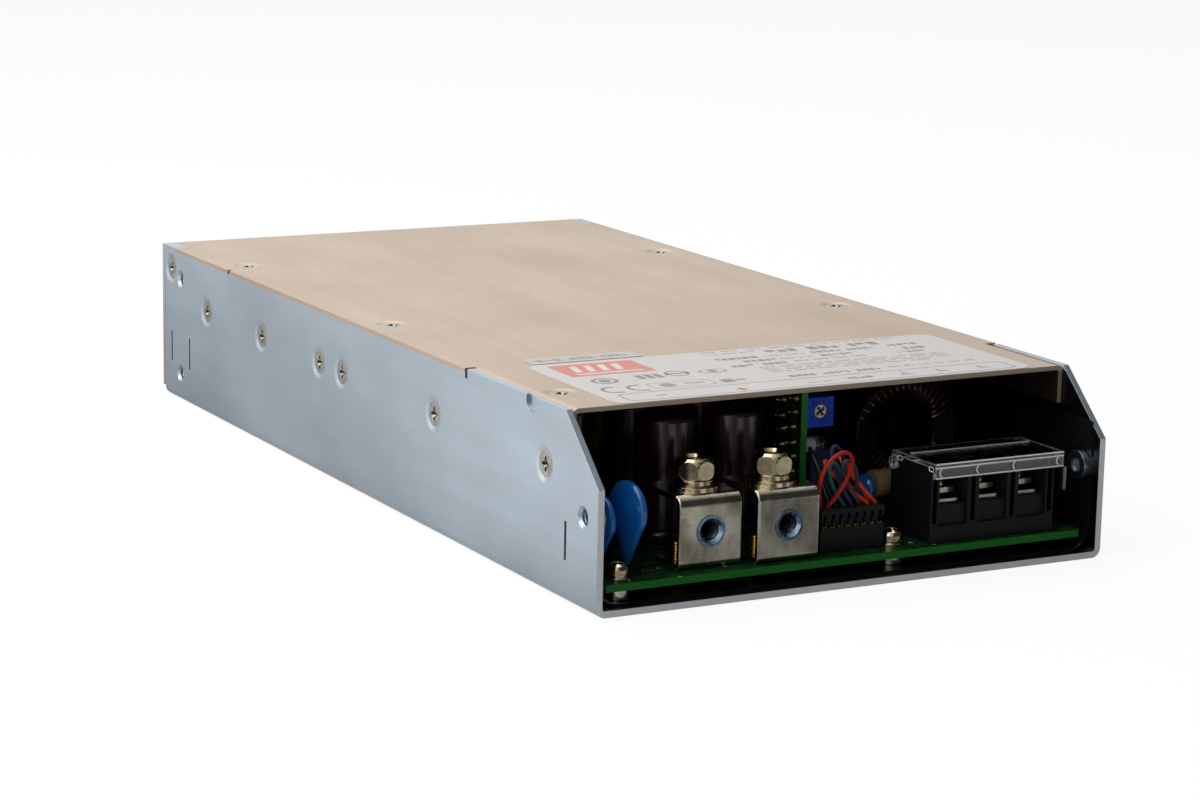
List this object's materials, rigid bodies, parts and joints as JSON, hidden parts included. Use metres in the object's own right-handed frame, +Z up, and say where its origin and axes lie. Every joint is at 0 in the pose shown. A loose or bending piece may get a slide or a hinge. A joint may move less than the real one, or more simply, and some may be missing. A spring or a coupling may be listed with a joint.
{
  "type": "enclosed power supply",
  "caption": "Low-profile enclosed switching power supply with output lugs, hinged terminal cover and fan",
  "frame": {"origin": "middle of the underside", "axes": "X width, Y length with the open terminal end towards -Y, Z up"},
  "size_m": [0.127, 0.25, 0.041],
  "materials": {
    "case_sheet": "satin sheet",
    "lid_sheet": "passivated sheet",
    "label_film": "printed film",
    "sticker_paper": "printed paper",
    "black_film": "smooth film",
    "board_laminate": "solder mask",
    "plated_steel": "zinc plated",
    "bar_aluminium": "extruded",
    "epoxy_black": "moulded epoxy",
    "spring_steel": "tempered",
    "moulded_black": "moulded",
    "tinned_metal": "tin plated",
    "yellow_zinc": "zinc plated, yellow passivated",
    "clear_plastic": "moulded clear",
    "blue_zinc": "zinc plated, blue passivated",
    "brass_turned": "turned thread",
    "blue_coating": "dipped",
    "maroon_sleeve": "shrunk sleeve",
    "black_sleeve": "shrunk sleeve",
    "ferrite": "sintered",
    "yellow_tape": "wound tape",
    "green_coating": "coated",
    "copper_enamel": "enamelled wire",
    "yellow_coating": "coated",
    "trimmer_blue": "moulded",
    "trimmer_grey": "moulded",
    "milky_plastic": "moulded",
    "wire_red_cover": "extruded cover",
    "wire_black_cover": "extruded cover",
    "wire_teal_cover": "extruded cover",
    "wire_purple_cover": "extruded cover",
    "wire_grey_cover": "extruded cover",
    "wire_orange_cover": "extruded cover",
    "dark_blue_case": "moulded",
    "tan_sleeve": "fibre sleeve"
  },
  "bodies": {
    "case": {"chassis": "case_sheet", "lid": "lid_sheet", "rating_label": "label_film", "strip_sticker": "sticker_paper", "insulating_film": "black_film", "main_board": "board_laminate", "standoffs": "plated_steel", "board_screws": "plated_steel", "board_washers": "plated_steel", "output_heat_bar": "bar_aluminium", "input_heat_bar": "bar_aluminium", "right_heat_bar": "bar_aluminium", "power_transistors": "epoxy_black", "transistor_clips": "spring_steel", "side_screws": "plated_steel", "lid_screws": "plated_steel", "terminal_block": "moulded_black", "terminal_plates": "tinned_metal", "terminal_washers": "tinned_metal", "terminal_screws": "yellow_zinc", "minus_lug": "tinned_metal", "plus_lug": "tinned_metal", "clinch_nuts": "blue_zinc", "lug_bolts": "yellow_zinc", "lug_spring_washers": "yellow_zinc", "lug_flat_washers": "yellow_zinc", "lug_studs": "brass_turned", "disc_capacitors": "blue_coating", "output_capacitors": "maroon_sleeve", "bulk_capacitors": "black_sleeve", "transformer_core": "ferrite", "transformer_bobbin": "moulded_black", "transformer_winding": "yellow_tape", "line_choke_core": "green_coating", "line_choke_winding": "copper_enamel", "output_choke_core": "yellow_coating", "output_choke_winding": "copper_enamel", "control_board": "board_laminate", "trimmer_body": "trimmer_blue", "led_spacer": "milky_plastic", "led": "clear_plastic", "pin_header": "moulded_black", "jumper_plug": "moulded_black", "wire_red": "wire_red_cover", "wire_black": "wire_black_cover", "wire_teal": "wire_teal_cover", "wire_purple": "wire_purple_cover", "wire_grey": "wire_grey_cover", "wire_orange": "wire_orange_cover", "box_capacitors": "dark_blue_case", "line_fuse": "tan_sleeve", "relay": "dark_blue_case", "bridge_rectifier": "epoxy_black", "fan_frame": "moulded_black", "fan_stator": "copper_enamel", "fan_screws": "plated_steel", "fan_lead": "wire_red_cover"},
    "terminal_flap": {"terminal_cover": "clear_plastic"},
    "trimmer": {"trimmer_rotor": "trimmer_grey"},
    "fan": {"fan_rotor": "moulded_black"}
  },
  "joints": [
    {"name": "cover_flip", "type": "hinge", "parent": "case", "child": "terminal_flap", "pos_m": [0.0374, -0.1055, 0.0214], "axis": [-1, 0, 0], "range_deg": [0, 95]},
    {"name": "trimmer_turn", "type": "hinge", "parent": "case", "child": "trimmer", "pos_m": [0.0041, -0.1, 0.0333], "axis": [0, -1, 0], "range_deg": [-130, 130]},
    {"name": "fan_spin", "type": "hinge", "parent": "case", "child": "fan", "pos_m": [0, 0.11, 0.0205], "axis": [0, 1, 0], "continuous": true}
  ]
}
